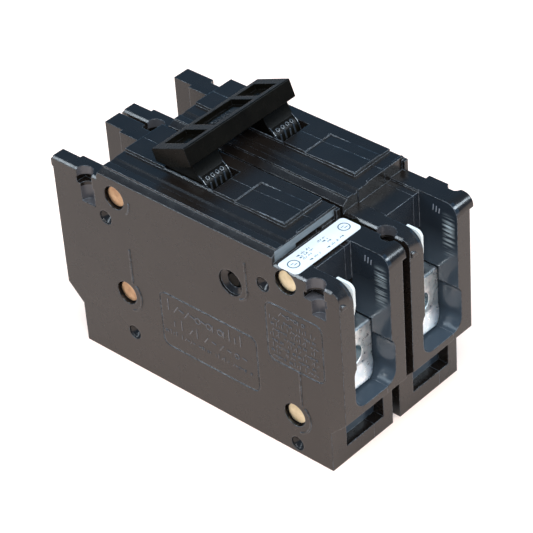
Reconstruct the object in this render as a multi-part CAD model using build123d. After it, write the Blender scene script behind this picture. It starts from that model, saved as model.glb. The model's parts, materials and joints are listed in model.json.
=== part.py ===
from build123d import *
import math
import os

# Two-pole moulded-case circuit breaker. Millimetres.
# X runs from the line end (-) to the load end (+), Y across the poles, Z up from the mounting face.
# The origin is the centre of the mounting face. Pole 1 is at -Y and pole 2 at +Y.

# ---- case -------------------------------------------------------------------------------
POLE_PITCH = 25.4
CASE_WIDTH = 22.6
CASE_HALF = 46.75
FOOT_HALF = 41.9
FOOT_HEIGHT = 12.0
SHOULDER_HEIGHT = 16.8
DECK = 55.8
EDGE_CHAMFER = 0.6
NUB = 0.6
DECK_SINK = 0.5
WALL = 2.2
SPLIT = 15.6
LIP = 1.4

# ---- raised middle of the case ------------------------------------------------------------
RAISE_LINE = -30.0
RAISE_LOAD = 26.5
COVE_FOOT = 57.5
LEDGE = 59.1
PLATEAU = 59.9
PLATEAU_NEAR = 9.4
PLATEAU_FAR = 22.7
PLATEAU_END = 22.4
FLANGE = 0.8

# ---- handle ---------------------------------------------------------------------------------
HANDLE_X = -8.5
HANDLE_Z = 56.0
HANDLE_Y = 14.15
HANDLE_WIDTH = 8.9
BARREL_R = 6.1
OPENING_HALF = 8.2
OPENING_WIDTH = 9.5
REST_TILT = 22.0
TIE_LENGTH = 38.0
TIE_WIDTH = 12.0
TIE_TOP = 12.4
TIE_DEEP = 5.0
TIE_RECESS = 1.5
TRUNNION_R = 2.0

# ---- terminal pockets -------------------------------------------------------------------------
POCKET_Y = 11.35
SLOT_HALF = 6.45
ROUND_HALF = 7.45
POCKET_FLOOR = 18.8
ROUND_TOP = 32.5
ROUND_CORNER = 3.6
LOAD_WALL = 35.1
LINE_WALL = 31.3
LUG_NICHE = 31.3
NICHE_TOP = 36.4
THROAT_TOP = 45.0

# ---- lugs -----------------------------------------------------------------------------------------
LUG_FRONT = 40.3
LUG_BACK = 31.6
LUG_TOP = 35.0
LUG_BOTTOM = 19.1
LUG_HALF = 6.9
LUG_ROUND = 5.6
WIRE_Z = 27.8
WIRE_R = 2.8
WIRE_DEEP = 7.0
SCREW_X = 36.6
SCREW_R = 2.2
SCREW_LOW = 31.0
SCREW_LONG = 4.6

# ---- rivets and side holes ----------------------------------------------------------------------------
RIVETS = [(-25.6, 52.1), (-24.8, 23.2), (30.2, 52.1), (30.3, 11.8)]
RIVET_HEAD_R = 2.8
RIVET_SINK_R = 3.3
RIVET_SINK = 1.6
RIVET_HEAD = 0.7
RIVET_SHANK_R = 1.4
RIVET_BOSS_R = 2.9
SEAT_FIT = 0.03
TIE_HOLE = (12.2, 43.7)
TIE_HOLE_R = 3.7
BLIND_HOLES = [(-29.4, 44.6), (-23.6, 11.1), (22.9, 48.2), (30.6, 2.9)]
BLIND_R = 2.0
RIB_HIGH = 0.22
RIB_WIDE = 0.45

# ---- mechanism ------------------------------------------------------------------------------------------
MECH_Y = 11.35
ARM_PIVOT = (-9.0, 40.0)
CRADLE_PIVOT = (8.0, 48.5)
ARMATURE_PIVOT = (25.9, 39.5)
SPRING_TOP = (-0.5, 44.2)
SPRING_FOOT = (-12.6, 30.0)
SPRING_Y = 16.6
CROSSBAR_R = 1.7
CROSSBAR_FIT = 0.5
CROSSBAR_INSET = 1.4
PIN_R = 1.2
ARMATURE_PIN_R = 0.6
PIN_FIT = 0.06
STRAP_LOW = 27.4
STRAP_THICK = 1.6
STRAP_HALF = 3.6
BIMETAL_X = 21.0
BIMETAL_THICK = 0.9
CONTACT_Z = 18.6
CONTACT_X = -20.0
CONTACT_THICK = 1.2
CONTACT_GAP = 0.15


def block(x0, x1, y0, y1, z0, z1):
    return Pos((x0 + x1) / 2, (y0 + y1) / 2, (z0 + z1) / 2) * Box(x1 - x0, y1 - y0, z1 - z0)


def across(sketch, y0, y1):
    """A sketch drawn in X and Z, pushed through from y0 to y1."""
    return extrude(Plane.XZ.offset(-y1) * sketch, y1 - y0)


def along(sketch, x0, x1):
    """A sketch drawn in Y and Z, pushed through from x0 to x1."""
    return extrude(Plane.YZ.offset(x0) * sketch, x1 - x0)


def rod_y(x, z, radius, y0, y1):
    return across(Pos(x, z) * Circle(radius), y0, y1)


def rod_x(y, z, radius, x0, x1):
    return along(Pos(y, z) * Circle(radius), x0, x1)


def rod_z(x, y, radius, z0, z1):
    return Pos(x, y, (z0 + z1) / 2) * Cylinder(radius, z1 - z0)


def outline(*points):
    return make_face(Polyline(*points, close=True))


def mirrored_x(part):
    return mirror(part, Plane.YZ)


# ---- case ---------------------------------------------------------------------------------------------
def case_outline():
    return outline(
        (-FOOT_HALF, 0),
        (FOOT_HALF, 0),
        (FOOT_HALF, FOOT_HEIGHT),
        (CASE_HALF, SHOULDER_HEIGHT),
        (CASE_HALF, DECK),
        (-CASE_HALF, DECK),
        (-CASE_HALF, SHOULDER_HEIGHT),
        (-FOOT_HALF, FOOT_HEIGHT),
    )


def raised_profile():
    """Stepped mouldings of the raised middle: cove, ridge, groove, ledge and plateau."""
    ridge = 1.75
    groove = 4.0
    white_edge = 6.0
    lines = Polyline(
        (0, COVE_FOOT),
        (0, DECK - 4),
        (CASE_WIDTH, DECK - 4),
        (CASE_WIDTH, DECK - 1.2),
        (CASE_WIDTH + FLANGE, DECK - 0.4),
        (CASE_WIDTH + FLANGE, LEDGE - 0.6),
        (CASE_WIDTH + FLANGE - 0.6, LEDGE),
        (PLATEAU_FAR, LEDGE),
        (PLATEAU_FAR - 0.2, PLATEAU),
        (PLATEAU_NEAR, PLATEAU),
        (PLATEAU_NEAR - 0.1, LEDGE),
        (white_edge, LEDGE),
        (white_edge - 0.5, LEDGE - 0.35),
        (groove + 0.1, LEDGE - 0.55),
        (groove - 0.1, LEDGE - 0.1),
        (ridge, LEDGE),
        (ridge - 0.05, LEDGE - 0.45),
    )
    cove = ThreePointArc((ridge - 0.05, LEDGE - 0.45), (0.55, LEDGE - 1.25), (0, COVE_FOOT))
    return make_face(lines + cove)


def raised_middle():
    body = along(raised_profile(), RAISE_LINE - 1.3, RAISE_LOAD)
    slope = outline(
        (RAISE_LINE - 3, DECK),
        (RAISE_LINE - 1.3, DECK),
        (RAISE_LINE, LEDGE),
        (RAISE_LINE + 0.5, PLATEAU + 1),
        (RAISE_LINE - 3, PLATEAU + 1),
    )
    body -= across(slope, -1, CASE_WIDTH + 2)
    front_step = block(PLATEAU_END, RAISE_LOAD + 1, -1, CASE_WIDTH + 2, LEDGE, PLATEAU + 1)
    lip = block(RAISE_LOAD - 0.7, RAISE_LOAD, PLATEAU_NEAR, PLATEAU_FAR, LEDGE, LEDGE + 0.3)
    return body - front_step + lip


def label_pad():
    """Wedge-shaped label pad on the plateau: sunk at its line end and proud at its load end."""
    x0 = 6.6
    x1 = PLATEAU_END - 0.05
    near = PLATEAU_NEAR + 0.1
    far = PLATEAU_NEAR + OPENING_WIDTH
    sunk = outline((x0, PLATEAU - 0.35), (x0, PLATEAU + 1), (13.6, PLATEAU + 1), (13.6, PLATEAU))
    proud = outline((13.6, PLATEAU - 0.2), (13.6, PLATEAU), (x1, PLATEAU + 0.3), (x1, PLATEAU - 0.2))
    return across(sunk, near - 0.5, far), across(proud, near, far)


def pocket_section():
    """Load end opening seen along X: a straight slot over a wider round-cornered cable way."""
    slot = Pos(POCKET_Y, (POCKET_FLOOR + 10 + DECK + 2) / 2) * Rectangle(2 * SLOT_HALF, DECK - POCKET_FLOOR - 8)
    tall = ROUND_TOP - POCKET_FLOOR
    bulb = RectangleRounded(2 * ROUND_HALF, tall, ROUND_CORNER)
    return slot + Pos(POCKET_Y + 0.1, POCKET_FLOOR + tall / 2) * bulb


def lug_niche():
    """Close-fitting nest that holds the lug at the inner end of the pocket."""
    tall = NICHE_TOP - POCKET_FLOOR
    nest = Pos(POCKET_Y, POCKET_FLOOR + tall / 2) * RectangleRounded(14.4, tall, 3.0)
    return along(nest, LUG_NICHE, LUG_FRONT + 0.3)


def deck_corner(radius, y):
    """What a rounded load end corner leaves over, in the plane at y."""
    x = CASE_HALF - radius
    z = DECK - radius
    half = radius * math.sqrt(0.5)
    lines = Polyline((x, DECK), (x, DECK + 1), (CASE_HALF + 1, DECK + 1), (CASE_HALF + 1, z), (CASE_HALF, z))
    arc = ThreePointArc((CASE_HALF, z), (x + half, z + half), (x, DECK))
    return Plane.XZ.offset(-y) * make_face(lines + arc)


def deck_rounding():
    """Corner rounding of the two walls beside the load pocket; its radius changes across each wall."""
    near = loft([deck_corner(2.4, -0.1), deck_corner(5.2, POCKET_Y - SLOT_HALF + 0.05)], ruled=True)
    far = loft([deck_corner(3.6, POCKET_Y + SLOT_HALF - 0.05), deck_corner(2.8, CASE_WIDTH + LIP + 0.1)], ruled=True)
    return near + far


def edge_chamfers():
    """Chamfer along the near top edge of the deck at both ends."""
    low = DECK - EDGE_CHAMFER - 0.2
    wedge = outline((-0.2, low), (-0.2, DECK + 0.2), (EDGE_CHAMFER + 0.2, DECK + 0.2))
    return along(wedge, -CASE_HALF - 1, RAISE_LINE - 1.2) + along(wedge, RAISE_LOAD, CASE_HALF - 2.2)


def load_pocket():
    pocket = along(pocket_section(), LOAD_WALL, CASE_HALF + 3)
    throat = block(LOAD_WALL - 1.2, LOAD_WALL + 1, POCKET_Y - SLOT_HALF, POCKET_Y + SLOT_HALF, 30, THROAT_TOP)
    return pocket + lug_niche() + throat


def line_pocket():
    inner = along(pocket_section(), -CASE_HALF - 3, -LINE_WALL)
    mouth = block(-CASE_HALF - 3, -40.6, 4.0, 18.9, POCKET_FLOOR + 8, DECK + 3)
    return inner + mouth + mirrored_x(lug_niche())


def foot_recess(side):
    """Stepped recess in the foot, where a mounting foot or clip engages."""
    outer = block(FOOT_HALF - 3.2, FOOT_HALF + 6, 5.3, 19.2, 4.4, FOOT_HEIGHT + 0.4)
    inner = block(FOOT_HALF - 5.4, FOOT_HALF, 6.3, 18.2, 6.8, FOOT_HEIGHT - 0.6)
    cut = outer + inner
    return cut if side > 0 else mirrored_x(cut)


def mechanism_cavity():
    void = outline(
        (-29.0, 3.2),
        (27.0, 3.2),
        (33.0, 9.0),
        (33.0, 16.2),
        (28.9, 18.6),
        (28.9, 52.5),
        (23.0, 57.0),
        (-27.0, 57.0),
        (-29.0, 54.0),
    )
    cavity = across(void, WALL, CASE_WIDTH - WALL)
    for x, z in RIVETS:
        cavity -= rod_y(x, z, RIVET_BOSS_R, 0, CASE_WIDTH)
    cavity -= rod_y(HANDLE_X, HANDLE_Z, 4.4, 0, PLATEAU_NEAR)
    cavity -= rod_y(HANDLE_X, HANDLE_Z, 4.4, PLATEAU_NEAR + OPENING_WIDTH, CASE_WIDTH)
    return cavity


def key_slot(x, radius, band, low_x, low_radius, low_floor):
    """Stepped key slot in the near wall: a half-round way, a cross cut, and a lower half-round pocket."""
    x0, x1, z0, z1 = band
    upper = rod_z(x, 0, radius, z0, DECK + 1)
    cross = block(x0, x1, -1, 3.0, z0, z1)
    lower = rod_z(low_x, 0, low_radius, low_floor, z0 + 0.1)
    return upper + cross + lower


def key_slots():
    line = key_slot(-35.6, 2.6, (-38.5, -33.4, 51.6, 53.3), -34.95, 2.35, 46.4)
    load = key_slot(39.5, 2.7, (35.9, 42.9, 50.5, 52.4), 40.3, 2.1, 46.6)
    return line + load


def ribs():
    """Fine moulded lines beside the rivets and the cross-trip hole on the near face."""
    lines = []
    for x, z in (RIVETS[1], RIVETS[3]):
        radius = 4.9
        ring = Pos(x, z) * (Circle(radius + RIB_WIDE) - Circle(radius))
        lines.append(ring & (Pos(x + 5, z - 0.6) * Rectangle(7, 8.4)))
        lines.append(Pos(x + 2.6, z + 9.4) * Rectangle(RIB_WIDE, 10.4))
    x, z = RIVETS[0]
    lines.append((Pos(x, z) * (Circle(5.2) - Circle(4.9))) & (Pos(x + 5, z - 1.4) * Rectangle(3.2, 3.6)))
    hole_x, hole_z = TIE_HOLE
    lines.append(Pos(hole_x + 5.2, hole_z + 3.8) * Rectangle(RIB_WIDE, 8.8))
    bend = Pos(hole_x + 2.2, hole_z - 0.6) * (Circle(3.2 + RIB_WIDE / 2) - Circle(3.2 - RIB_WIDE / 2))
    lines.append(bend & (Pos(hole_x + 4.4, hole_z - 2.2) * Rectangle(3.4, 3.4)))
    return [across(line, -RIB_HIGH, 0.3) for line in lines]


def embossed_frames():
    """Shallow rounded frames that mark where the side markings sit."""
    cuts = []
    for x0, x1, z0, z1 in ((-13.0, 19.4, 12.9, 30.0), (23.0, 41.0, 26.3, 44.0)):
        frame = RectangleRounded(x1 - x0, z1 - z0, 2.2) - RectangleRounded(x1 - x0 - 0.7, z1 - z0 - 0.7, 1.9)
        cuts.append(across(Pos((x0 + x1) / 2, (z0 + z1) / 2) * frame, -0.1, 0.2))
    return cuts


def side_bosses():
    """Spacer bosses on the far side that carry one pole against the next, with half-round gaps."""
    y0 = CASE_WIDTH - 0.3
    y1 = CASE_WIDTH + LIP
    line = block(-CASE_HALF, -32.0, y0, y1, 52.4, DECK) - rod_z(-35.5, y1, 2.2, 50, DECK + 1)
    load = block(33.4, CASE_HALF, y0, y1, 52.4, DECK) - rod_z(41.15, y1 + 0.4, 1.95, 50, DECK + 1)
    flange_end = block(24.0, RAISE_LOAD + 0.8, CASE_WIDTH - 0.5, CASE_WIDTH + FLANGE, DECK - 1.2, LEDGE - 0.6)
    return line + load + flange_end


def end_nubs():
    """Small locating nubs at the top of the near wall, one on each end face."""
    line = block(-CASE_HALF - NUB, -CASE_HALF + 1, 0.1, 4.0, 52.6, DECK - 0.6)
    line = chamfer(line.edges().filter_by(Axis.Y).group_by(Axis.X)[0], 0.35)
    load = block(CASE_HALF - 1, CASE_HALF + NUB, 0.3, 2.0, 51.2, 52.9)
    load = chamfer(load.edges().filter_by(Axis.Y).group_by(Axis.X)[-1], 0.35)
    return line + load


def deck_recess():
    """Sunk middle of the load end deck, and the line it makes up the raised end face."""
    floor = block(RAISE_LOAD, LOAD_WALL + 1, 5.4, 17.6, DECK - DECK_SINK, DECK + 1)
    line = block(RAISE_LOAD - 0.3, RAISE_LOAD + 1, 5.4, 5.8, DECK - DECK_SINK, LEDGE + 1)
    return floor + line


def dished_hole(x, z, radius, straight, deep):
    """Blind hole with a conical bottom, sunk from the near face."""
    cone = Plane.XZ.offset(-straight) * Circle(radius)
    tip = Plane.XZ.offset(-deep) * Circle(radius * 0.35)
    return rod_y(x, z, radius, -1, straight) + Pos(x, 0, z) * loft([cone, tip])


def handle_opening():
    well = rod_y(HANDLE_X, HANDLE_Z, BARREL_R + 0.5, PLATEAU_NEAR, PLATEAU_NEAR + OPENING_WIDTH)
    mouth = outline(
        (HANDLE_X - OPENING_HALF, PLATEAU + 2),
        (HANDLE_X - OPENING_HALF, PLATEAU - 1.4),
        (HANDLE_X - 5.0, 52.0),
        (HANDLE_X + 5.0, 52.0),
        (HANDLE_X + OPENING_HALF, PLATEAU - 1.4),
        (HANDLE_X + OPENING_HALF, PLATEAU + 2),
    )
    return well + across(mouth, PLATEAU_NEAR, PLATEAU_NEAR + OPENING_WIDTH)


def strap_slots():
    """Ways through the end walls for the line and load straps."""
    low = STRAP_LOW - 0.1
    slot = block(28.0, LUG_BACK + 0.2, MECH_Y - 3.7, MECH_Y + 3.7, low, low + STRAP_THICK + 0.2)
    return slot + mirrored_x(slot)


def pole_block():
    body = across(case_outline(), 0, CASE_WIDTH) + raised_middle() + side_bosses() + end_nubs()
    for rib in ribs():
        body += rib
    body -= deck_rounding()
    body -= edge_chamfers()
    body -= deck_recess()
    sunk, proud = label_pad()
    body = body - sunk + proud
    body -= mechanism_cavity()
    body -= load_pocket()
    body -= line_pocket()
    body -= handle_opening()
    body -= strap_slots()
    body -= foot_recess(1)
    body -= foot_recess(-1)
    body -= rod_y(HANDLE_X, HANDLE_Z, TRUNNION_R + PIN_FIT, PLATEAU_NEAR - 2.4, PLATEAU_NEAR + OPENING_WIDTH + 1.6)
    body -= key_slots()
    for cut in embossed_frames():
        body -= cut
    for x, z in RIVETS:
        body -= rod_y(x, z, RIVET_SHANK_R + SEAT_FIT, -1, CASE_WIDTH + 1)
        body -= rod_y(x, z, RIVET_SINK_R, -1, RIVET_SINK)
        body -= rod_y(x, z, RIVET_SINK_R, CASE_WIDTH - RIVET_SINK, CASE_WIDTH + 1)
    for x, z in BLIND_HOLES:
        body -= dished_hole(x, z, BLIND_R, 0.5, 1.7)
    body -= dished_hole(TIE_HOLE[0], TIE_HOLE[1], TIE_HOLE_R, 0.7, 2.1)
    body -= rod_y(TIE_HOLE[0], TIE_HOLE[1], CROSSBAR_R + CROSSBAR_FIT, 1.0, CASE_WIDTH + 1)
    for x, z, radius in pin_places():
        body -= rod_y(x, z, radius + SEAT_FIT, 1.2, CASE_WIDTH - 1.2)
    return body


def case_shells():
    whole = pole_block()
    near_half = block(-60, 60, -5, SPLIT, -5, 80)
    far_half = block(-60, 60, SPLIT, 40, -5, 80)
    return whole & near_half, whole & far_half


def rivets():
    group = []
    for x, z in RIVETS:
        near = RIVET_SINK - SEAT_FIT
        far = CASE_WIDTH - near
        shank = rod_y(x, z, RIVET_SHANK_R, near, far)
        head = rod_y(x, z, RIVET_HEAD_R, near - RIVET_HEAD, near)
        tail = rod_y(x, z, RIVET_HEAD_R, far, far + RIVET_HEAD)
        group.append(shank + head + tail)
    return Compound(group)


# ---- handle ----------------------------------------------------------------------------------------------
def tilted(part):
    """From handle axes, pivot at the origin and stem upright, to its rest place in the pole."""
    return Pos(HANDLE_X, 0, HANDLE_Z) * Rot(0, -REST_TILT, 0) * part


def handle_lever():
    near = HANDLE_Y - HANDLE_WIDTH / 2
    far = HANDLE_Y + HANDLE_WIDTH / 2
    sides = Polyline((5.0, 3.4), (-4.9, 3.4), (-4.2, 8.3), (-1.6, 7.3), (4.4, 7.3))
    flare = ThreePointArc((4.4, 7.3), (4.6, 5.2), (5.0, 3.4))
    body = rod_y(0, 0, BARREL_R, near, far) + across(make_face(sides + flare), near, far)
    horn = outline((-2.0, -4.0), (2.0, -4.0), (1.3, -10.2), (-1.3, -10.2))
    body += across(horn, HANDLE_Y - 2.5, HANDLE_Y + 2.5)
    body += rod_y(0, 0, TRUNNION_R, near - 2.0, far + 1.4)
    return tilted(body)


def tie_bar():
    half = TIE_WIDTH / 2
    low = TIE_TOP - TIE_DEEP
    section = outline(
        (-half, TIE_TOP),
        (half, TIE_TOP),
        (half, low),
        (-1.8, low),
        (-half, TIE_TOP - 3.4),
    )
    centre = HANDLE_Y + POLE_PITCH / 2
    near = centre - TIE_LENGTH / 2
    bar = across(section, near, near + TIE_LENGTH)
    edges = bar.edges().filter_by(Axis.Y)
    bar = fillet(edges, 0.35)
    for start, end in ((2.8, 10.2), (12.8, 26.6), (28.4, 35.2)):
        recess = block(-4.2, 4.2, near + start, near + end, TIE_TOP - TIE_RECESS, TIE_TOP + 1)
        bar -= recess
    bar += block(-1.6, 1.6, near + 15.2, near + 24.2, TIE_TOP - TIE_RECESS - 0.1, TIE_TOP - TIE_RECESS + 0.5)
    for pole_shift in (0, POLE_PITCH):
        bar -= lever_socket(HANDLE_Y + pole_shift)
    return tilted(bar)


def lever_socket(y):
    """Shallow seat under the bar for the top of a lever."""
    seat = outline((-4.4, 8.6), (-1.6, 7.3), (-1.6, 6.0), (-8.0, 6.0), (-8.0, 8.6))
    return across(seat, y - HANDLE_WIDTH / 2, y + HANDLE_WIDTH / 2) & block(-4.2, -1.6, -100, 100, 6.0, 8.3)


# ---- terminals ----------------------------------------------------------------------------------------
def lug_section(half, top):
    """Round-bottomed outline of a lug, seen along X."""
    round_z = LUG_BOTTOM + LUG_ROUND
    side = half - LUG_ROUND
    bend = LUG_ROUND * math.sqrt(0.5)
    near = ThreePointArc((-half, round_z), (-side - bend, round_z - bend), (-side, LUG_BOTTOM))
    far = ThreePointArc((side, LUG_BOTTOM), (side + bend, round_z - bend), (half, round_z))
    bottom = Line((-side, LUG_BOTTOM), (side, LUG_BOTTOM))
    sides = Polyline((half, round_z), (half, top), (-half, top), (-half, round_z))
    return make_face(near + far + bottom + sides)


def lug():
    box = Pos(0, POCKET_Y, 0) * along(lug_section(LUG_HALF, LUG_TOP), LUG_BACK, LUG_FRONT)
    box = fillet(box.edges().filter_by(Axis.X).group_by(Axis.Z)[-1], 1.0)
    box = fillet(box.edges().filter_by(Axis.Y).group_by(Axis.Z)[-1], 0.7)
    lip = outline((LUG_FRONT - 0.5, 25.2), (LUG_FRONT + 1.7, LUG_BOTTOM + 0.6), (LUG_FRONT - 0.5, LUG_BOTTOM + 0.6))
    shape = Pos(0, POCKET_Y, 0) * along(lug_section(LUG_HALF - 0.4, LUG_TOP), LUG_FRONT - 1, LUG_FRONT + 3)
    box += across(lip, POCKET_Y - LUG_HALF, POCKET_Y + LUG_HALF) & shape
    box -= rod_x(POCKET_Y, WIRE_Z, WIRE_R, LUG_FRONT - WIRE_DEEP, LUG_FRONT + 3)
    box -= rod_z(SCREW_X, POCKET_Y, SCREW_R + PIN_FIT, WIRE_Z, LUG_TOP + 1)
    return box


def lug_screw():
    screw = rod_z(SCREW_X, POCKET_Y, SCREW_R, SCREW_LOW, SCREW_LOW + SCREW_LONG)
    slot = block(SCREW_X - 0.45, SCREW_X + 0.45, POCKET_Y - 3, POCKET_Y + 3, SCREW_LOW + SCREW_LONG - 1.5, 40)
    return chamfer(screw.edges().group_by(Axis.Z)[0], 0.4) - slot


def terminal_liner(front):
    """Thin white fibre barrier in the top front corner of the load pocket, against its near wall."""
    near = POCKET_Y - SLOT_HALF + 0.05
    sheet = outline(
        (41.6, 43.0),
        (41.6, DECK - 0.1),
        (front, DECK - 0.1),
        (front, 49.5),
        (front - 0.8, 45.5),
        (front - 1.6, 43.0),
    )
    corner = sheet.vertices().sort_by(Axis.Y)[-2:].sort_by(Axis.X)[-1]
    return across(fillet(corner, 1.8), near, near + 0.8)


def load_strap():
    y0 = MECH_Y - STRAP_HALF
    y1 = MECH_Y + STRAP_HALF
    return block(BIMETAL_X - 0.4, LUG_BACK, y0, y1, STRAP_LOW, STRAP_LOW + STRAP_THICK)


def line_strap():
    y0 = MECH_Y - STRAP_HALF
    y1 = MECH_Y + STRAP_HALF
    top = STRAP_LOW + STRAP_THICK
    flat = block(-LUG_BACK, CONTACT_X, y0, y1, STRAP_LOW, top)
    drop = block(CONTACT_X - STRAP_THICK, CONTACT_X, y0, y1, CONTACT_Z - 3.2, top)
    return flat + drop


# ---- mechanism --------------------------------------------------------------------------------------------
def fixed_contact():
    return rod_x(MECH_Y, CONTACT_Z, 2.6, CONTACT_X, CONTACT_X + CONTACT_THICK)


def moving_contact():
    x = CONTACT_X + CONTACT_THICK + CONTACT_GAP
    return rod_x(MECH_Y, CONTACT_Z, 2.6, x, x + CONTACT_THICK)


def contact_arm():
    x, z = ARM_PIVOT
    tip = CONTACT_X + 2 * CONTACT_THICK + CONTACT_GAP
    low = CONTACT_Z - 3.2
    blade = outline((x - 2.9, z + 1.6), (x + 2.9, z + 1.6), (x + 2.6, z - 4), (tip + 3, low), (tip, low), (tip, 24.0))
    arm = across(blade, MECH_Y - 1.6, MECH_Y + 1.6)
    arm += rod_y(x, z, 3.4, MECH_Y - 2.4, MECH_Y + 2.4)
    arm += rod_y(SPRING_FOOT[0], SPRING_FOOT[1], 0.8, MECH_Y, SPRING_Y + 0.9)
    return arm - rod_y(x, z, PIN_R + PIN_FIT, 0, CASE_WIDTH)


def trip_cradle():
    """Latched cradle: its nose lies at the armature's hook and its tail carries the toggle spring."""
    x, z = CRADLE_PIVOT
    tail_x, tail_z = SPRING_TOP
    plate = outline(
        (x - 3.0, z + 2.0),
        (x + 2.0, z + 3.0),
        (22.0, 47.8),
        (22.0, 46.2),
        (x + 2.0, z - 1.7),
        (x - 1.0, z - 2.6),
        (tail_x + 0.8, tail_z - 1.2),
        (tail_x - 1.2, tail_z - 0.6),
        (tail_x - 0.6, tail_z + 1.6),
    )
    near = MECH_Y + 2.9
    cradle = across(plate, near, near + 1.6)
    cradle += rod_y(x, z, 2.6, near, near + 2.6)
    cradle += rod_y(tail_x, tail_z, 0.8, near, SPRING_Y + 0.9)
    return cradle - rod_y(x, z, PIN_R + PIN_FIT, 0, CASE_WIDTH)


def pin_places():
    arm = (ARM_PIVOT[0], ARM_PIVOT[1], PIN_R)
    cradle = (CRADLE_PIVOT[0], CRADLE_PIVOT[1], PIN_R)
    armature_pin = (ARMATURE_PIVOT[0], ARMATURE_PIVOT[1], ARMATURE_PIN_R)
    return [arm, cradle, armature_pin]


def pivot_pins():
    return Compound([rod_y(x, z, radius, 1.25, CASE_WIDTH - 1.25) for x, z, radius in pin_places()])


def toggle_spring():
    """Tension spring from the cradle's tail down to the post on the contact arm."""
    run_x = SPRING_TOP[0] - SPRING_FOOT[0]
    run_z = SPRING_TOP[1] - SPRING_FOOT[1]
    length = math.hypot(run_x, run_z)
    ring = 1.2
    wire = 0.3
    radius = 1.1
    turns = 15
    end = ring + 1.2
    path = Helix((length - 2 * end) / turns, length - 2 * end, radius)
    start = Plane(origin=path @ 0, z_dir=path % 0)
    spring = Pos(0, 0, end) * sweep(start * Circle(wire), path)
    eye = Rot(90, 0, 0) * Torus(ring, wire)
    spring += eye
    spring += Pos(0, 0, length) * eye
    for low, high in ((ring, end), (length - end, length - ring)):
        spring += Pos(0, 0, (low + high) / 2) * Cylinder(wire, high - low)
    for z in (end, length - end):
        spring += Pos(radius / 2, 0, z) * Rot(0, 90, 0) * Cylinder(wire, radius)
        spring += Pos(radius, 0, z) * Sphere(1.2 * wire)
        spring += Pos(0, 0, z) * Sphere(1.2 * wire)
    lean = math.degrees(math.atan2(run_x, run_z))
    return Pos(SPRING_FOOT[0], SPRING_Y, SPRING_FOOT[1]) * Rot(0, lean, 0) * spring


def bimetal():
    x = BIMETAL_X
    low = STRAP_LOW + STRAP_THICK
    leaf = block(x, x + BIMETAL_THICK, MECH_Y - 2.6, MECH_Y + 2.6, low, 45.4)
    return leaf - rod_x(MECH_Y, 43.4, 1.0 + SEAT_FIT, x - 1, x + 2)


def magnet_yoke():
    low = 30.0
    high = 37.0
    back = block(18.6, 19.8, MECH_Y - 3.9, MECH_Y + 3.9, low, high)
    near = block(18.6, 23.3, MECH_Y - 3.9, MECH_Y - 2.8, low, high)
    far = block(18.6, 23.3, MECH_Y + 2.8, MECH_Y + 3.9, low, high)
    return back + near + far


def armature():
    """Armature plate facing the yoke, hung on its pin, with the latch hook above."""
    x, z = ARMATURE_PIVOT
    face = 24.4
    plate = block(face, face + 1.0, MECH_Y - 3.6, MECH_Y + 4.5, 29.6, 46.2)
    knuckle = block(face, x, MECH_Y - 3.6, MECH_Y + 4.5, z - 1.0, z + 1.0)
    hub = rod_y(x, z, 1.3, MECH_Y - 3.6, MECH_Y + 4.5)
    hook = block(22.1, face + 1.0, MECH_Y + 2.9, MECH_Y + 4.5, 45.0, 46.2)
    return plate + knuckle + hub + hook - rod_y(x, z, ARMATURE_PIN_R + PIN_FIT, 0, CASE_WIDTH)


def calibration_screw():
    """Screw through the free end of the bimetal, pointing at the armature."""
    shank = rod_x(MECH_Y, 43.4, 1.0, 20.4, 24.1)
    head = rod_x(MECH_Y, 43.4, 1.7, 19.6, 20.6)
    slot = block(19.0, 20.0, MECH_Y - 2, MECH_Y + 2, 43.1, 43.7)
    return shank + head - slot


def flexible_braid():
    """Flat copper braid from the bimetal down and across to the hub of the contact arm."""
    path = Spline((20.9, 40.0), (15.5, 37.6), (6.0, 31.0), (-2.2, 32.6), (-5.05, 39.2))
    return across(trace(path, 1.0), MECH_Y - 1.5, MECH_Y + 1.5)


def arc_plates():
    """Slotted steel plates standing across the path of the moving contact."""
    plates = []
    for step in range(5):
        x = -16.8 + 2.2 * step
        plate = block(x, x + 0.8, MECH_Y - 5.9, MECH_Y + 5.9, 6.0, 21.0)
        notch = block(x - 1, x + 2, MECH_Y - 3.3, MECH_Y + 3.3, 10.0, 22.0)
        plates.append(plate - notch)
    return Compound(plates)


def arc_chute_frame():
    near = block(-17.4, -6.4, MECH_Y - 6.9, MECH_Y - 5.95, 5.0, 21.5)
    far = block(-17.4, -6.4, MECH_Y + 5.95, MECH_Y + 6.9, 5.0, 21.5)
    base = block(-17.4, -6.4, MECH_Y - 6.9, MECH_Y + 6.9, 4.0, 5.9)
    return near + far + base


def trip_crossbar():
    """Flatted bar through both poles that trips one pole when the other one trips."""
    x, z = TIE_HOLE
    bar = rod_y(x, z, CROSSBAR_R, CROSSBAR_INSET, POLE_PITCH + CASE_WIDTH - CROSSBAR_INSET)
    for shift in (0, POLE_PITCH):
        bar += block(x - 0.6, x + 0.6, shift + 16.6, shift + 18.0, z, z + 2.8)
    return bar


# ---- labels -------------------------------------------------------------------------------------------------
def foil_strip():
    """Bright foil strip on the load-end face of pole 1's raised middle."""
    strip = block(RAISE_LOAD, RAISE_LOAD + 0.08, 0.9, 22.0, DECK + 0.1, LEDGE - 0.35)
    return strip - block(RAISE_LOAD - 1, RAISE_LOAD + 1, 8.2, 23.0, DECK - 1, DECK + 1.1)


def rating_label():
    x = (RAISE_LOAD + LOAD_WALL) / 2
    return Pos(x, CASE_WIDTH / 2 + 0.6, DECK + 0.02) * extrude(RectangleRounded(6.4, 23.6, 1.2), 0.12)


def placed(part, pole):
    near_face = (RIB_HIGH - LIP - CASE_WIDTH - POLE_PITCH) / 2
    return Pos(0, near_face + (pole - 1) * POLE_PITCH, 0) * part


def write(name, part):
    part.label = name
    export_step(part, f"parts/{name}.step")


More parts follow.
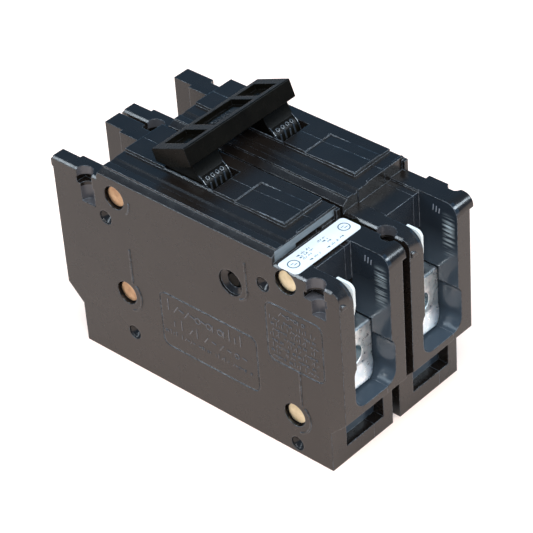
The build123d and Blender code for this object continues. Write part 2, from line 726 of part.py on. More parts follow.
def main():
    os.makedirs("parts", exist_ok=True)
    near_shell, far_shell = case_shells()
    per_pole = {
        "case_near_shell": near_shell,
        "case_far_shell": far_shell,
        "case_rivets": rivets(),
        "handle_lever": handle_lever(),
        "line_lug": mirrored_x(lug()),
        "line_lug_screw": mirrored_x(lug_screw()),
        "load_lug": lug(),
        "load_lug_screw": lug_screw(),
        "line_strap": line_strap(),
        "load_strap": load_strap(),
        "fixed_contact": fixed_contact(),
        "moving_contact": moving_contact(),
        "contact_arm": contact_arm(),
        "trip_cradle": trip_cradle(),
        "pivot_pins": pivot_pins(),
        "toggle_spring": toggle_spring(),
        "bimetal": bimetal(),
        "magnet_yoke": magnet_yoke(),
        "armature": armature(),
        "calibration_screw": calibration_screw(),
        "flexible_braid": flexible_braid(),
        "arc_plates": arc_plates(),
        "arc_chute_frame": arc_chute_frame(),
    }
    for name, part in per_pole.items():
        for pole in (1, 2):
            write(f"{name}_{pole}", placed(part, pole))
    write("terminal_liner_1", placed(terminal_liner(CASE_HALF - 0.1), 1))
    write("terminal_liner_2", placed(terminal_liner(CASE_HALF - 0.6), 2))
    write("handle_tie_bar", placed(tie_bar(), 1))
    write("trip_crossbar", placed(trip_crossbar(), 1))
    write("foil_label_strip", placed(foil_strip(), 1))
    write("rating_label", placed(rating_label(), 1))


main()
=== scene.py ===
import json
import math

import bmesh
import bpy
from mathutils import Matrix, Vector


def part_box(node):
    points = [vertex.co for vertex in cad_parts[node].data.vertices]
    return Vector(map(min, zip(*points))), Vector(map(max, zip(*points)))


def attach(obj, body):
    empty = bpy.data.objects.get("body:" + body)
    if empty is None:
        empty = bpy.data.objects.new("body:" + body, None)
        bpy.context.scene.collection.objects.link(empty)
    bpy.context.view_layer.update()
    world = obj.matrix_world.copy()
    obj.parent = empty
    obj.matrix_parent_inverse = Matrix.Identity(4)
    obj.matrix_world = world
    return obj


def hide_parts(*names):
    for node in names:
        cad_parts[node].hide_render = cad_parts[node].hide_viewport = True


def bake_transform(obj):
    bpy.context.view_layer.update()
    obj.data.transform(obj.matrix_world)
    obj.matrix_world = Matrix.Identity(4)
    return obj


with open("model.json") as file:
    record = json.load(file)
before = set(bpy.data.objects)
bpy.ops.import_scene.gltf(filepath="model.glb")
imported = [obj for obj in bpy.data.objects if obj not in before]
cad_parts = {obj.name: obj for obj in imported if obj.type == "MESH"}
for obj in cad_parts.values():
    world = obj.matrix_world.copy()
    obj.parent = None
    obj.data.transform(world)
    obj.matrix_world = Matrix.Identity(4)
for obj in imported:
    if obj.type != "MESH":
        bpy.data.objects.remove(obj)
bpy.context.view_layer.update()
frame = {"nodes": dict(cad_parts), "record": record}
MM = 0.001

# ---- places read from the frame ----------------------------------------------------------------
NODES = frame["nodes"]
NODE_SLOT = {s["node"]: s["material_slot"] for s in frame["record"]["subparts"]}
RATING_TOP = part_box("rating_label")[1].z / MM

# ---- places on the part, in millimetres --------------------------------------------------------
POLE_NEAR = {1: -24.59, 2: 0.81}
POLE_PITCH = POLE_NEAR[2] - POLE_NEAR[1]
# across one pole, measured from its near side
MECH_Y = 11.35
HANDLE_Y = 14.15
POCKET_NEAR, POCKET_FAR = 3.9, 18.95
SLOT_NEAR, SLOT_FAR = 0.15, 2.8
POCKET_WALL_Y = 17.8
# along the case and up
POCKET_BACK, POCKET_MOUTH = 35.05, 46.62
POCKET_FLOOR, POCKET_TOP = 18.6, 55.5
FOOT_BACK, FOOT_MOUTH = 36.0, 41.8
FOOT_FLOOR, FOOT_TOP = 4.5, 12.0
# the patch of painted highlight streaks near the pocket mouths, and the heights over which the painted
# sheen of the pockets darkens
HIGHLIGHT_STREAK_X, HIGHLIGHT_STREAK_Z = (43.4, 44.6), (43.5, 49.0)
SHADE_Z = (47.0, 70.0)
LINE_SLOT_X, LOAD_SLOT_X = (-38.6, -33.0), (35.9, 42.9)
SLOT_LOW_Z, SLOT_HIGH_Z = (46.4, 50.5), (53.0, 55.6)
EJECTOR = (8.0, 50.4)
RATING_X = 30.8
SPRING_TOP, SPRING_FOOT = (-1.5, 43.0), (-11.6, 31.2)
# handle, its drum and its tie bar, which leans at rest
HANDLE_PIVOT = (-8.5, 56.0)
HANDLE_TILT = math.radians(22.0)
DRUM_R = 6.1
DRUM_START = math.radians(78.0)
TIE_PLATE_TOP = 11.4

# ---- camera ------------------------------------------------------------------------------------
CAMERA_AZIMUTH = 44.41
CAMERA_ELEVATION = 37.16
CAMERA_ROLL = 4.42
CAMERA_DISTANCE = 0.6346
CAMERA_SLIDE = (0.000944, -0.02247)
CAMERA_LENS = 167.2
CAMERA_SHIFT_Y = -0.59


def make_camera():
    azimuth, elevation, roll = (math.radians(a) for a in (CAMERA_AZIMUTH, CAMERA_ELEVATION, CAMERA_ROLL))
    level = math.cos(elevation)
    back = Vector((math.sin(azimuth) * level, -math.cos(azimuth) * level, math.sin(elevation)))
    right = Vector((0, 0, 1)).cross(back).normalized()
    up = back.cross(right)
    turned_right = right * math.cos(roll) - up * math.sin(roll)
    turned_up = right * math.sin(roll) + up * math.cos(roll)
    place = back * CAMERA_DISTANCE - turned_right * CAMERA_SLIDE[0] - turned_up * CAMERA_SLIDE[1]
    place += Vector((0, CAMERA_SHIFT_Y * MM, 0))
    data = bpy.data.cameras.new("camera")
    data.lens = CAMERA_LENS
    data.sensor_width = 36.0
    data.clip_start = 0.01
    data.clip_end = 20.0
    camera = bpy.data.objects.new("camera", data)
    bpy.context.collection.objects.link(camera)
    turn = Matrix((turned_right, turned_up, back)).transposed()
    camera.matrix_world = Matrix.Translation(place) @ turn.to_4x4()
    bpy.context.scene.camera = camera


# ---- light and floor ---------------------------------------------------------------------------
LIGHT_AIM = Vector((0, 0, 0.03))
COOL_LIGHT = (0.80, 0.91, 1.0)
TOP_LIGHT = (0.88, 0.94, 1.0)
FLASH_LIGHT = (1.0, 0.99, 0.97)
SKY_LIGHT = (0.17, 0.48, 0.84, 1)
FLOOR_GLOW = (0.16, 0.19, 0.22, 1)


def area_light(name, direction, distance, size, power, colour):
    data = bpy.data.lights.new(name, "AREA")
    data.shape = "RECTANGLE"
    data.size, data.size_y = size
    data.energy = power
    data.color = colour
    light = bpy.data.objects.new(name, data)
    light.location = LIGHT_AIM + Vector(direction).normalized() * distance
    light.rotation_mode = "QUATERNION"
    light.rotation_quaternion = (LIGHT_AIM - light.location).to_track_quat("-Z", "Y")
    bpy.context.collection.objects.link(light)


def make_light():
    area_light("top_soft", (0.30, -0.28, 1.0), 1.5, (1.2, 1.2), 31.0, TOP_LIGHT)
    area_light("flash", (0.55, -0.62, 0.60), 0.9, (0.10, 0.08), 2.4, FLASH_LIGHT)
    area_light("edge_near", (-0.56, -0.62, 0.58), 0.9, (0.22, 0.22), 4.0, COOL_LIGHT)
    area_light("edge_load", (0.62, 0.57, 0.56), 0.9, (0.22, 0.22), 4.0, COOL_LIGHT)
    world = bpy.data.worlds.new("studio")
    world.use_nodes = True
    background = world.node_tree.nodes["Background"]
    background.inputs["Color"].default_value = SKY_LIGHT
    background.inputs["Strength"].default_value = 0.62
    bpy.context.scene.world = world
    bpy.context.scene.view_settings.view_transform = "Standard"


def make_floor():
    bpy.ops.mesh.primitive_plane_add(size=6.0, location=(0, 0, 0))
    floor = bpy.context.object
    floor.name = "floor"
    floor.data.materials.append(floor_material())


# ---- materials ---------------------------------------------------------------------------------
class Shader:
    """A Principled material with short helpers for the nodes that feed it."""

    def __init__(self, name, **values):
        self.material = bpy.data.materials.new(name)
        self.material.use_nodes = True
        self.tree = self.material.node_tree
        self.surface = self.tree.nodes["Principled BSDF"]
        for socket, value in values.items():
            self.surface.inputs[socket.replace("_", " ")].default_value = value
        self.place = self.node("ShaderNodeTexCoord").outputs["Object"]

    def node(self, kind, **settings):
        made = self.tree.nodes.new(kind)
        for name, value in settings.items():
            setattr(made, name, value)
        return made

    def link(self, source, target):
        self.tree.links.new(source, target)

    def noise(self, scale, detail=4.0, rough=0.6, stretch=None):
        made = self.node("ShaderNodeTexNoise")
        made.inputs["Scale"].default_value = scale
        made.inputs["Detail"].default_value = detail
        made.inputs["Roughness"].default_value = rough
        self.link(self.stretched(stretch) if stretch else self.place, made.inputs["Vector"])
        return made.outputs["Fac"]

    def stretched(self, stretch):
        mapping = self.node("ShaderNodeMapping")
        mapping.inputs["Scale"].default_value = stretch
        self.link(self.place, mapping.inputs["Vector"])
        return mapping.outputs["Vector"]

    def cells(self, scale):
        made = self.node("ShaderNodeTexVoronoi")
        made.inputs["Scale"].default_value = scale
        self.link(self.place, made.inputs["Vector"])
        return made.outputs["Distance"]

    def ramp(self, source, low, high, start=0.3, end=0.7):
        made = self.node("ShaderNodeValToRGB")
        made.color_ramp.elements[0].position = start
        made.color_ramp.elements[1].position = end
        made.color_ramp.elements[0].color = (*low, 1)
        made.color_ramp.elements[1].color = (*high, 1)
        self.link(source, made.inputs["Fac"])
        return made.outputs["Color"]

    def spread(self, source, low, high, start=0.3, end=0.7):
        made = self.node("ShaderNodeMapRange")
        made.inputs["From Min"].default_value = start
        made.inputs["From Max"].default_value = end
        made.inputs["To Min"].default_value = low
        made.inputs["To Max"].default_value = high
        self.link(source, made.inputs["Value"])
        return made.outputs["Result"]

    def window(self, axis, low, high, fade=0.05):
        """1 where the place along axis lies between low and high millimetres, fading to 0 outside."""
        part = self.node("ShaderNodeSeparateXYZ")
        self.link(self.place, part.inputs["Vector"])
        value = part.outputs[axis]
        rise = self.spread(value, 0.0, 1.0, (low - fade) * MM, low * MM)
        fall = self.spread(value, 1.0, 0.0, high * MM, (high + fade) * MM)
        return self.times(rise, fall)

    def rounded(self, radius):
        """The surface normal, turned as if each sharp edge had the radius, in metres."""
        made = self.node("ShaderNodeBevel", samples=6)
        made.inputs["Radius"].default_value = radius
        return made.outputs["Normal"]

    def edges(self, radius):
        """1 along every sharp edge within radius metres, 0 on the flats."""
        match = self.node("ShaderNodeVectorMath", operation="DOT_PRODUCT")
        self.link(self.rounded(radius), match.inputs[0])
        self.link(self.node("ShaderNodeNewGeometry").outputs["Normal"], match.inputs[1])
        return self.spread(match.outputs["Value"], 1.0, 0.0, 0.80, 0.97)

    def times(self, first, second):
        return self.combined("MULTIPLY", first, second)

    def plus(self, first, second):
        return self.combined("ADD", first, second)

    def combined(self, operation, first, second):
        """Two masks multiplied or added, kept between 0 and 1."""
        made = self.node("ShaderNodeMath", operation=operation, use_clamp=True)
        self.link(first, made.inputs[0])
        self.link(second, made.inputs[1])
        return made.outputs["Value"]

    def blend(self, factor, first, second):
        """A colour that turns from first to second as factor goes from 0 to 1."""
        made = self.node("ShaderNodeMix", data_type="RGBA")
        self.link(factor, made.inputs["Factor"])
        # a Mix node has sockets of every kind under the same names, so they are picked by number
        for socket, value in ((made.inputs[6], first), (made.inputs[7], second)):
            if isinstance(value, tuple):
                socket.default_value = (*value, 1)
            else:
                self.link(value, socket)
        return made.outputs[2]

    def blend_number(self, factor, source, value):
        """A number that turns from source to value as factor goes from 0 to 1."""
        made = self.node("ShaderNodeMix", data_type="FLOAT")
        self.link(factor, made.inputs["Factor"])
        self.link(source, made.inputs[2])
        made.inputs[3].default_value = value
        return made.outputs[0]

    def colour(self, source):
        self.link(source, self.surface.inputs["Base Color"])

    def rough(self, source):
        self.link(source, self.surface.inputs["Roughness"])

    def bump(self, source, strength, distance, edge=0.0):
        made = self.node("ShaderNodeBump")
        made.inputs["Strength"].default_value = strength
        made.inputs["Distance"].default_value = distance
        self.link(source, made.inputs["Height"])
        if edge:
            self.link(self.rounded(edge), made.inputs["Normal"])
        self.link(made.outputs["Normal"], self.surface.inputs["Normal"])


def floor_material():
    """Pale warm paper. The light turns it white, and the upright faces of the case mirror its warmth."""
    shader = Shader("floor_paper", Roughness=0.95, Emission_Color=FLOOR_GLOW, Emission_Strength=1.0)
    shader.colour(shader.ramp(shader.noise(6.0), (0.95, 0.68, 0.53), (0.97, 0.695, 0.545)))
    return shader.material


def box_mask(shader, low_x, high_x, low_z, high_z):
    return shader.times(shader.window("X", low_x, high_x), shader.window("Z", low_z, high_z, 0.1))


def both_poles(shader, near, far):
    """1 between two distances from the near side of either pole."""
    first, second = (shader.window("Y", side + near, side + far) for side in POLE_NEAR.values())
    return shader.plus(first, second)


def pocket_mask(shader):
    """1 inside the load pockets and the load end foot recesses of both poles."""
    pocket = box_mask(shader, POCKET_BACK, POCKET_MOUTH, POCKET_FLOOR, POCKET_TOP)
    foot = box_mask(shader, FOOT_BACK, FOOT_MOUTH, FOOT_FLOOR, FOOT_TOP)
    return shader.times(shader.plus(pocket, foot), both_poles(shader, POCKET_NEAR, POCKET_FAR))


def pocket_painted_sheen(shader):
    """Painted sheen: a blue-grey colour that stands for the gloss of the walls, darker towards the top,
    with short pale streaks near the mouth that are painted highlights.
    """
    highlight_streak = shader.noise(500.0, 4.0, 0.6, (0.25, 0.25, 3.0))
    highlight_patch = shader.times(shader.window("X", *HIGHLIGHT_STREAK_X, 1.5), shader.window("Z", *HIGHLIGHT_STREAK_Z, 4.0))
    painted_highlight = shader.times(shader.spread(highlight_streak, 0.0, 1.0, 0.44, 0.68), highlight_patch)
    shade = shader.blend(shader.window("Z", *SHADE_Z, 8.0), (0.036, 0.047, 0.059), (0.013, 0.017, 0.022))
    return shader.blend(painted_highlight, shade, (0.32, 0.37, 0.38))


def key_slot_sheen_mask(shader):
    """1 inside the half-round key slots at both ends of the near walls, 0 in their cross cuts. It places
    the painted sheen of the slots.
    """
    ends = shader.plus(shader.window("X", *LINE_SLOT_X), shader.window("X", *LOAD_SLOT_X))
    walls = both_poles(shader, SLOT_NEAR, SLOT_FAR)
    levels = shader.plus(shader.window("Z", *SLOT_LOW_Z, 0.1), shader.window("Z", *SLOT_HIGH_Z, 0.1))
    return shader.times(shader.times(ends, walls), levels)


def case_plastic():
    """Black moulded thermoset: faint mottling, dust specks, fine grain, painted highlights along the edges,
    glossier pockets, and a painted sheen in the pockets and key slots.
    """
    shader = Shader("case_plastic", IOR=1.40)
    base = shader.ramp(shader.noise(90.0, 6.0), (0.0065, 0.0046, 0.0036), (0.0105, 0.0076, 0.0060))
    dust = shader.spread(shader.noise(2100.0, 2.0), 0.0, 0.30, 0.70, 0.80)
    base = shader.blend(dust, base, (0.07, 0.07, 0.075))
    # painted sheen: the key slots are lighter than the case, standing for the gloss of their walls
    base = shader.blend(key_slot_sheen_mask(shader), base, (0.058, 0.055, 0.058))
    inside = pocket_mask(shader)
    # painted highlight: a pale colour along the sharp edges stands for light glinting on their rounding,
    # broken up by noise
    highlight_breakup = shader.spread(shader.noise(700.0, 3.0), 0.10, 0.85, 0.38, 0.62)
    edge_highlight = shader.times(shader.edges(0.00022), highlight_breakup)
    # painted edge highlights over the painted sheen of the pockets and the base colour
    shader.colour(shader.blend(edge_highlight, shader.blend(inside, base, pocket_painted_sheen(shader)), (0.20, 0.23, 0.26)))
    outer_rough = shader.spread(shader.noise(260.0, 5.0, 0.65), 0.20, 0.31)
    shader.rough(shader.blend_number(inside, outer_rough, 0.14))
    shader.bump(shader.noise(2300.0, 3.0), 0.16, 0.00006, 0.0004)
    return shader.material


def handle_plastic():
    """Duller and blacker moulding than the case, with painted highlights along its edges."""
    shader = Shader("handle_plastic", IOR=1.13)
    base = shader.ramp(shader.noise(120.0, 6.0), (0.0022, 0.0018, 0.0012), (0.0042, 0.0035, 0.0023))
    # painted highlight along the sharp edges, broken up by noise
    highlight_breakup = shader.spread(shader.noise(800.0, 3.0), 0.0, 0.9, 0.42, 0.60)
    edge_highlight = shader.times(shader.edges(0.00014), highlight_breakup)
    shader.colour(shader.blend(edge_highlight, base, (0.040, 0.043, 0.045)))
    shader.rough(shader.spread(shader.noise(300.0, 5.0, 0.65), 0.20, 0.32))
    shader.bump(shader.noise(2300.0, 3.0), 0.08, 0.00005, 0.00016)
    return shader.material


def raised_marks(name, colour):
    """Glossy relief of the moulded marks."""
    shader = Shader(name, IOR=1.55)
    shader.colour(shader.ramp(shader.noise(500.0), tuple(0.7 * c for c in colour), colour))
    shader.rough(shader.spread(shader.noise(900.0), 0.10, 0.24))
    shader.bump(shader.noise(2500.0), 0.1, 0.00004, 0.0001)
    return shader.material


def printed_ink():
    shader = Shader("printed_ink", Roughness=0.6)
    shader.colour(shader.ramp(shader.noise(1500.0, 4.0), (0.02, 0.06, 0.08), (0.08, 0.14, 0.17)))
    return shader.material


def brushed_metal(name, low, high, rough, stretch):
    shader = Shader(name, Metallic=1.0)
    grain = shader.noise(900.0, 4.0, 0.6, stretch)
    shader.colour(shader.ramp(shader.noise(220.0, 5.0), low, high))
    shader.rough(shader.spread(grain, rough - 0.10, rough + 0.14))
    shader.bump(grain, 0.25, 0.00004, 0.00015)
    return shader.material


def brushed_foil():
    """Dull silver foil with faint lengthwise brushing."""
    shader = Shader("foil", Metallic=0.35)
    grain = shader.noise(900.0, 4.0, 0.6, (1, 0.15, 1))
    shader.colour(shader.ramp(grain, (0.11, 0.125, 0.13), (0.20, 0.22, 0.23)))
    shader.rough(shader.spread(grain, 0.34, 0.52))
    shader.bump(grain, 0.3, 0.00005, 0.0001)
    return shader.material


def mottled_plate():
    """Worn plating of the lugs: grey blotches over a brighter ground."""
    shader = Shader("nickel_plate", Metallic=1.0)
    blotch = shader.noise(330.0, 7.0, 0.7)
    shader.colour(shader.ramp(blotch, (0.70, 0.82, 0.84), (1.0, 1.0, 1.0), 0.36, 0.64))
    shader.rough(shader.spread(shader.noise(700.0, 5.0), 0.22, 0.46))
    shader.bump(shader.noise(800.0, 5.0), 0.35, 0.00006, 0.0004)
    return shader.material


def copper():
    """Rivets and arms: orange tarnish at the line end, straw at the load end, and a hammered face."""
    shader = Shader("rivet_copper", Metallic=1.0)
    orange = shader.ramp(shader.noise(420.0, 6.0), (0.28, 0.16, 0.09), (0.50, 0.35, 0.21))
    straw = shader.ramp(shader.noise(380.0, 6.0), (0.40, 0.34, 0.21), (0.60, 0.54, 0.38))
    shader.colour(shader.blend(shader.window("X", 0.0, 60.0, 10.0), orange, straw))
    shader.rough(shader.spread(shader.noise(700.0, 5.0), 0.24, 0.46))
    shader.bump(shader.cells(1400.0), 0.3, 0.00005, 0.0002)
    return shader.material


def fibre(name, low, high):
    shader = Shader(name, Roughness=0.75)
    shader.colour(shader.ramp(shader.noise(300.0, 8.0), low, high))
    shader.bump(shader.noise(1500.0, 6.0, 0.7, (1, 1, 0.3)), 0.3, 0.00006)
    return shader.material


def braided_copper():
    shader = Shader("braided_copper", Metallic=1.0, Roughness=0.42)
    wave = shader.node("ShaderNodeTexWave", wave_type="BANDS", bands_direction="DIAGONAL")
    wave.inputs["Scale"].default_value = 700.0
    shader.link(shader.place, wave.inputs["Vector"])
    shader.colour(shader.ramp(wave.outputs["Fac"], (0.45, 0.22, 0.12), (0.85, 0.52, 0.33)))
    shader.bump(wave.outputs["Fac"], 0.8, 0.0002)
    return shader.material


def metals():
    """Low colour, high colour, roughness and grain direction of the brushed metals."""
    return {
        "screw_steel": ((0.55, 0.55, 0.54), (0.72, 0.71, 0.68), 0.30, (1, 1, 6)),
        "plated_steel": ((0.48, 0.48, 0.46), (0.64, 0.63, 0.60), 0.36, (6, 1, 1)),
        "spring_steel": ((0.34, 0.34, 0.35), (0.48, 0.48, 0.48), 0.30, (1, 6, 1)),
        "silver_contact": ((0.78, 0.78, 0.76), (0.90, 0.90, 0.88), 0.34, (1, 5, 1)),
        "bimetal_metal": ((0.52, 0.46, 0.38), (0.68, 0.62, 0.54), 0.34, (1, 1, 6)),
    }


def make_materials():
    made = {name: brushed_metal(name, *looks) for name, looks in metals().items()}
    made["case_plastic"] = case_plastic()
    made["handle_plastic"] = handle_plastic()
    made["case_marks"] = raised_marks("case_marks", (0.060, 0.064, 0.072))
    made["pocket_marks"] = raised_marks("pocket_marks", (0.20, 0.22, 0.25))
    made["handle_marks"] = raised_marks("handle_marks", (0.020, 0.022, 0.025))
    made["printed_ink"] = printed_ink()
    made["copper"] = copper()
    made["nickel_plate"] = mottled_plate()
    made["fibre_sheet"] = fibre("fibre_sheet", (0.50, 0.51, 0.48), (0.60, 0.61, 0.58))
    made["fibre_sheet_grey"] = fibre("fibre_sheet_grey", (0.30, 0.28, 0.25), (0.42, 0.40, 0.36))
    made["foil"] = brushed_foil()
    made["label_stock"] = fibre("label_stock", (0.545, 0.55, 0.55), (0.60, 0.605, 0.605))
    made["braided_copper"] = braided_copper()
    return made


# ---- raised and printed marks ------------------------------------------------------------------
class Relief:
    """Short strokes and rings on a face, in one mesh. place turns (along, up, high) into a point."""

    SINK = 0.05

    def __init__(self, place):
        self.place = place
        self.mesh = bmesh.new()

    def stroke(self, start, end, width, high):
        run = Vector(end) - Vector(start)
        forward = run.normalized() * width * 0.5
        side = Vector((-forward.y, forward.x))
        rings = []
        for inset, level in ((1.0, -self.SINK), (1.0, 0.55 * high), (0.55, high)):
            corners = (
                Vector(start) - forward * inset - side * inset,
                Vector(end) + forward * inset - side * inset,
                Vector(end) + forward * inset + side * inset,
                Vector(start) - forward * inset + side * inset,
            )
            rings.append([self.mesh.verts.new(self.place(c.x, c.y, level) * MM) for c in corners])
        self.mesh.faces.new(reversed(rings[0]))
        self.mesh.faces.new(rings[-1])
        for low, top in zip(rings, rings[1:]):
            for side_a in range(4):
                side_b = (side_a + 1) % 4
                self.mesh.faces.new((low[side_a], low[side_b], top[side_b], top[side_a]))

    def ring(self, centre, radius, width, high, steps):
        angles = [2 * math.pi * step / steps for step in range(steps + 1)]
        points = [(centre[0] + radius * math.cos(a), centre[1] + radius * math.sin(a)) for a in angles]
        for start, end in zip(points, points[1:]):
            self.stroke(start, end, width, high)

    def mark(self, kind, x, low, size, width, high):
        """One abstract sign of a row, in a cell of height size."""
        top = low + size
        wide = 0.42 * size
        if kind == 0:
            self.stroke((x, low), (x, top), width, high)
        elif kind == 1:
            self.ring((x + wide / 2, low + 0.3 * size), 0.27 * size, width, high, 8)
        elif kind == 2:
            self.stroke((x, low), (x + wide, low + 0.62 * size), width, high)
        elif kind == 3:
            self.stroke((x, low), (x, low + 0.5 * size), width, high)
        else:
            self.stroke((x, low + 0.45 * size), (x + wide, low + 0.35 * size), width, high)

    def row(self, start, end, low, size, pitch, width, high, seed, space=0):
        """Marks from start to end, at each pitch. Every space-th place stays empty."""
        for index in range(int((end - start) / pitch)):
            if space and index % space == space - 1:
                continue
            kind = (7 * index + index // 3 + seed) % 5
            self.mark(kind, start + index * pitch, low, size, width, high)

    def finish(self, name, material, body):
        data = bpy.data.meshes.new(name)
        bmesh.ops.recalc_face_normals(self.mesh, faces=self.mesh.faces[:])
        self.mesh.to_mesh(data)
        self.mesh.free()
        piece = bpy.data.objects.new(name, data)
        bpy.context.collection.objects.link(piece)
        data.materials.append(material)
        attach(piece, body)


def on_near_face(x, z, high):
    return Vector((x, POLE_NEAR[1] - high, z))


def on_label(y, x, high):
    return Vector((RATING_X - x, POLE_NEAR[1] + y, RATING_TOP + high))


def on_pocket_wall(pole):
    def place(x, z, high):
        return Vector((x, POLE_NEAR[pole] + POCKET_WALL_Y - high, z))

    return place


def on_pocket_back(pole):
    def place(y, z, high):
        return Vector((POCKET_BACK + 0.05 + high, POLE_NEAR[pole] + y, z))

    return place


def on_drum(pole):
    """Along Y and up the drum from the load side, around the handle pivot."""

    def place(y, arc, high):
        angle = DRUM_START - arc / DRUM_R
        reach = DRUM_R + high
        x = HANDLE_PIVOT[0] + reach * math.sin(angle)
        z = HANDLE_PIVOT[1] + reach * math.cos(angle)
        return Vector((x, POLE_NEAR[pole] + HANDLE_Y + y, z))

    return place


def on_tie_plate(y, x, high):
    """The raised plate in the middle recess of the tie bar."""
    local = Vector((-x, 0, TIE_PLATE_TOP + high))
    turned = Matrix.Rotation(-HANDLE_TILT, 3, "Y") @ local
    return turned + Vector((HANDLE_PIVOT[0], POLE_NEAR[1] + y, HANDLE_PIVOT[1]))


def side_marks(materials):
    """Two large rows and a small one in the name panel, and nine small rows in the data panel."""
    name_panel = Relief(on_near_face)
    name_panel.row(-10.2, 16.6, low=24.9, size=3.3, pitch=1.85, width=0.30, high=0.12, seed=0)
    name_panel.row(-8.6, 18.6, low=20.3, size=2.7, pitch=2.55, width=0.28, high=0.12, seed=3)
    name_panel.row(-12.0, 18.0, low=17.4, size=1.1, pitch=0.95, width=0.20, high=0.12, seed=1, space=6)
    name_panel.finish("name_panel_marks", materials["case_marks"], "case")
    data_panel = Relief(on_near_face)
    data_panel.row(27.4, 36.6, low=41.0, size=1.7, pitch=1.2, width=0.24, high=0.15, seed=2)
    for line in range(8):
        start = 24.4 + 0.35 * (line % 3)
        low = 39.0 - 1.62 * line
        gap = 5 + line % 3
        data_panel.row(start, 39.8, low, size=1.05, pitch=0.86, width=0.20, high=0.13, seed=line, space=gap)
    data_panel.finish("data_panel_marks", materials["case_marks"], "case")


def pocket_marks(materials):
    """Three short bars on the far wall of each load pocket, and an ejector ring on its back wall."""
    for pole in POLE_NEAR:
        marks = Relief(on_pocket_wall(pole))
        for x, low, high in ((39.4, 52.0, 53.5), (40.3, 51.8, 53.3), (41.2, 51.7, 52.9)):
            marks.stroke((x, low), (x + 0.15, high), width=0.24, high=0.14)
        marks.finish(f"pocket_marks_{pole}", materials["pocket_marks"], "case")
        pin = Relief(on_pocket_back(pole))
        pin.ring(EJECTOR, radius=0.9, width=0.22, high=0.08, steps=20)
        pin.finish(f"ejector_ring_{pole}", materials["case_marks"], "case")


def label_print(materials):
    """Two round marks and short lines of small print. Each line has a start, an end and a height."""
    print_layer = Relief(on_label)
    high = 0.03
    for y, x in ((2.9, 0.2), (21.0, 0.3)):
        print_layer.ring((y, x), radius=1.45, width=0.26, high=high, steps=20)
        print_layer.stroke((y - 0.7, x + 0.3), (y + 0.1, x + 0.3), 0.2, high)
        print_layer.stroke((y - 0.2, x - 0.4), (y + 0.7, x - 0.4), 0.2, high)
    left = ((5.4, 10.2, 1.3), (5.6, 10.6, 0.4), (5.8, 9.4, -0.5), (6.4, 10.2, -2.0))
    middle = ((12.8, 15.4, 1.2), (13.4, 15.8, 0.3), (14.2, 15.8, -0.6), (12.4, 16.6, -2.1))
    right = ((17.2, 19.2, -1.9),)
    for start, end, low in left + middle + right:
        seed = int(start * 10)
        print_layer.row(start, end, low, size=0.52, pitch=0.42, width=0.17, high=high, seed=seed, space=4)
    print_layer.finish("label_print", materials["printed_ink"], "case")


def handle_marks(materials):
    """Bars, rings and two rims on each handle drum, and two rows on the plate of the tie bar."""
    for pole in POLE_NEAR:
        drum = Relief(on_drum(pole))
        for index, y in enumerate((-2.7, -1.0, 0.7, 2.3)):
            drum.stroke((y, 0.9), (y + 0.3, 2.2 + 0.5 * (index % 2)), width=0.55, high=0.25)
            drum.ring((y + 0.2, 3.7), radius=0.45, width=0.36, high=0.24, steps=8)
        for y in (-4.1, 4.1):
            for step in range(8):
                drum.stroke((y, 0.65 * step), (y, 0.65 * step + 0.65), width=0.36, high=0.3)
        drum.finish(f"drum_marks_{pole}", materials["handle_marks"], "handle")
    plate = Relief(on_tie_plate)
    middle = HANDLE_Y + POLE_PITCH / 2
    plate.row(middle - 3.6, middle + 3.8, 0.1, size=0.95, pitch=0.72, width=0.16, high=0.12, seed=1)
    start, end = middle - 3.4, middle + 3.2
    plate.row(start, end, -1.05, size=0.8, pitch=0.72, width=0.15, high=0.12, seed=2, space=4)
    plate.finish("tie_plate_marks", materials["handle_marks"], "handle")


# ---- CAD nodes ---------------------------------------------------------------------------------
def dress_nodes(materials):
    for name, node in NODES.items():
        braid = name.startswith("flexible_braid")
        node.data.materials.clear()
        node.data.materials.append(materials["braided_copper" if braid else NODE_SLOT[name]])


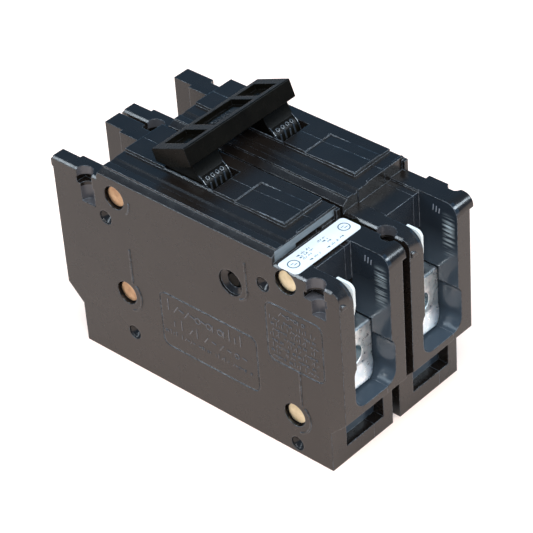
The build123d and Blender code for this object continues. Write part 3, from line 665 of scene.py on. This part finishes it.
def flexing_copy(name, new_name):
    """A copy of a CAD node that takes its place, with the node hidden."""
    node = NODES[name]
    piece = bpy.data.objects.new(new_name, node.data.copy())
    piece.matrix_world = node.matrix_world.copy()
    bpy.context.collection.objects.link(piece)
    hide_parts(node.name)
    return piece


def keep_side(piece, place, outward):
    """Cuts a piece at place, keeps the side that outward points to, and closes the cut."""
    to_local = piece.matrix_world.inverted()
    mesh = bmesh.new()
    mesh.from_mesh(piece.data)
    bmesh.ops.remove_doubles(mesh, verts=mesh.verts[:], dist=1e-7)
    cut = bmesh.ops.bisect_plane(
        mesh,
        geom=mesh.verts[:] + mesh.edges[:] + mesh.faces[:],
        plane_co=to_local @ place,
        plane_no=to_local.to_3x3() @ outward,
        clear_inner=True,
    )
    rim = [part for part in cut["geom_cut"] if isinstance(part, bmesh.types.BMEdge)]
    bmesh.ops.holes_fill(mesh, edges=rim, sides=0)
    mesh.to_mesh(piece.data)
    mesh.free()


def mech_place(pole, place):
    """A point of the mechanism in metres, from its millimetres along X and Z."""
    return Vector((place[0], POLE_NEAR[pole] + MECH_Y, place[1])) * MM


def flexing_braid(pole):
    """The braid between the still bimetal and the hub of the swinging contact arm, as a copy in place of
    its CAD node, with its placement baked into the mesh.
    """
    braid = flexing_copy(f"flexible_braid_{pole}", f"flexible_braid_flexing_{pole}")
    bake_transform(braid)


def flexing_spring(pole):
    """Two halves of the spring, cut at its waist: the upper half towards its top, the lower towards its
    foot, each with the cut closed and its placement baked into the mesh.
    """
    top, foot = mech_place(pole, SPRING_TOP), mech_place(pole, SPRING_FOOT)
    waist = (top + foot) / 2
    for half, body, end in (("upper", "trip_cradle", top), ("lower", "contact_arm", foot)):
        spring = flexing_copy(f"toggle_spring_{pole}", f"toggle_spring_{half}_{pole}")
        keep_side(spring, waist, end - waist)
        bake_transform(spring)


def flexing_pieces():
    for pole in POLE_NEAR:
        flexing_braid(pole)
        flexing_spring(pole)


make_camera()
make_light()
make_floor()
MATERIALS = make_materials()
dress_nodes(MATERIALS)
side_marks(MATERIALS)
pocket_marks(MATERIALS)
label_print(MATERIALS)
handle_marks(MATERIALS)
flexing_pieces()
